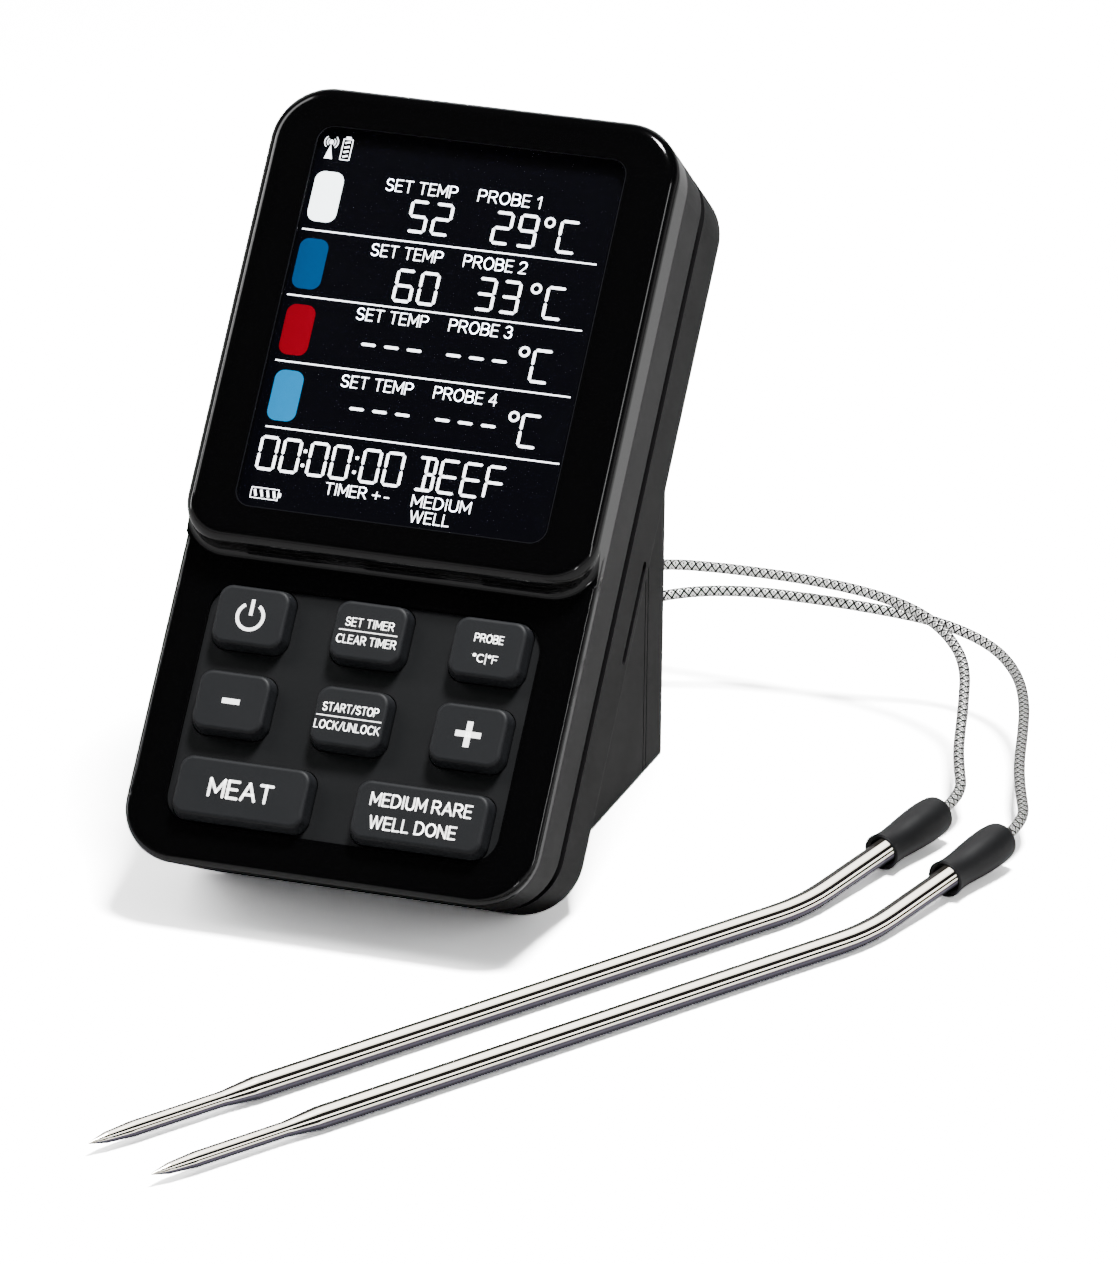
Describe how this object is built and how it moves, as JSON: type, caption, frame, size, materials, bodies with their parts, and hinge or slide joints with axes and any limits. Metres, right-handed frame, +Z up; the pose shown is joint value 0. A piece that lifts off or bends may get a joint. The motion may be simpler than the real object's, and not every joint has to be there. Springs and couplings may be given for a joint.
{
  "type": "meat thermometer",
  "caption": "Leaning table thermometer with a colour display, rubber keys and rear jacks, and bent steel needle probes on braided leads.",
  "frame": {"origin": "under the middle of the unit, on the surface it stands on", "axes": "+X is the unit's right as seen from the front, -Y the side the display faces, +Z up"},
  "size_m": [0.1688, 0.2736, 0.1257],
  "materials": {
    "gloss_cover": "gloss",
    "window": "polished",
    "display": "smooth",
    "white_plastic": "matte",
    "inner_black": "matte",
    "contact_rubber": "matte",
    "keypad_rubber": "matte",
    "key_rubber": "matte",
    "carbon": "matte",
    "frame_grey": "matte",
    "case_black": "matte",
    "circuit_board": "satin",
    "shield": "satin",
    "cell": "satin",
    "plated": "satin",
    "jack_black": "satin",
    "polished_steel": "polished",
    "potting": "smooth",
    "braid": "braided",
    "tie": "matte",
    "pin_plating": "polished",
    "sleeve_rubber": "satin"
  },
  "bodies": {
    "unit": {"front_cover": "gloss_cover", "display_window": "window", "lcd_glass": "display", "backlight": "white_plastic", "lcd_frame": "inner_black", "lcd_connector": "contact_rubber", "keypad_mat": "keypad_rubber", "keypad_spacer": "inner_black", "key_contacts": "carbon", "mid_frame": "frame_grey", "recess_band": "gloss_cover", "rear_case": "case_black", "rear_cover": "case_black", "main_board": "circuit_board", "processor": "inner_black", "radio_module": "shield", "buzzer": "inner_black", "battery_holder": "inner_black", "cell_1": "cell", "cell_2": "cell", "cell_contacts": "plated", "jack_1": "jack_black", "jack_2": "jack_black", "jack_3": "jack_black", "jack_4": "jack_black", "jack_board": "circuit_board", "case_screws": "plated", "cover_screws": "plated"},
    "key_power": {"key_power": "key_rubber"},
    "key_timer": {"key_timer": "key_rubber"},
    "key_units": {"key_units": "key_rubber"},
    "key_minus": {"key_minus": "key_rubber"},
    "key_start": {"key_start": "key_rubber"},
    "key_plus": {"key_plus": "key_rubber"},
    "key_meat": {"key_meat": "key_rubber"},
    "key_doneness": {"key_doneness": "key_rubber"},
    "battery_door": {"battery_door": "case_black"},
    "probe_1": {"probe_1_needle": "polished_steel", "probe_1_sensor": "potting", "probe_1_sleeve": "sleeve_rubber", "probe_1_lead": "braid", "probe_1_coil": "braid", "probe_1_tie": "tie", "probe_1_tail": "braid", "probe_1_relief": "jack_black", "probe_1_plug": "jack_black", "probe_1_pin": "pin_plating"},
    "probe_2": {"probe_2_needle": "polished_steel", "probe_2_sensor": "potting", "probe_2_sleeve": "sleeve_rubber", "probe_2_lead": "braid", "probe_2_coil": "braid", "probe_2_tie": "tie", "probe_2_tail": "braid", "probe_2_relief": "jack_black", "probe_2_plug": "jack_black", "probe_2_pin": "pin_plating"}
  },
  "joints": [
    {"name": "key_power_press", "type": "slide", "parent": "unit", "child": "key_power", "axis": [0, 0.7902, -0.6129], "range_m": [0, 0.001], "stiffness_N_per_m": 800},
    {"name": "key_timer_press", "type": "slide", "parent": "unit", "child": "key_timer", "axis": [0, 0.7902, -0.6129], "range_m": [0, 0.001], "stiffness_N_per_m": 800},
    {"name": "key_units_press", "type": "slide", "parent": "unit", "child": "key_units", "axis": [0, 0.7902, -0.6129], "range_m": [0, 0.001], "stiffness_N_per_m": 800},
    {"name": "key_minus_press", "type": "slide", "parent": "unit", "child": "key_minus", "axis": [0, 0.7902, -0.6129], "range_m": [0, 0.001], "stiffness_N_per_m": 800},
    {"name": "key_start_press", "type": "slide", "parent": "unit", "child": "key_start", "axis": [0, 0.7902, -0.6129], "range_m": [0, 0.001], "stiffness_N_per_m": 800},
    {"name": "key_plus_press", "type": "slide", "parent": "unit", "child": "key_plus", "axis": [0, 0.7902, -0.6129], "range_m": [0, 0.001], "stiffness_N_per_m": 800},
    {"name": "key_meat_press", "type": "slide", "parent": "unit", "child": "key_meat", "axis": [0, 0.7902, -0.6129], "range_m": [0, 0.001], "stiffness_N_per_m": 800},
    {"name": "key_doneness_press", "type": "slide", "parent": "unit", "child": "key_doneness", "axis": [0, 0.7902, -0.6129], "range_m": [0, 0.001], "stiffness_N_per_m": 800},
    {"name": "battery_door_hinge", "type": "hinge", "parent": "unit", "child": "battery_door", "pos_m": [0, 0.0529, 0.0403], "axis": [-1, 0, 0], "range_deg": [0, 80]},
    {"name": "probe_1_plug_pull", "type": "slide", "parent": "unit", "child": "probe_1", "axis": [0, 1, 0], "range_m": [0, 0.012]},
    {"name": "probe_2_plug_pull", "type": "slide", "parent": "unit", "child": "probe_2", "axis": [0, 1, 0], "range_m": [0, 0.012]}
  ]
}
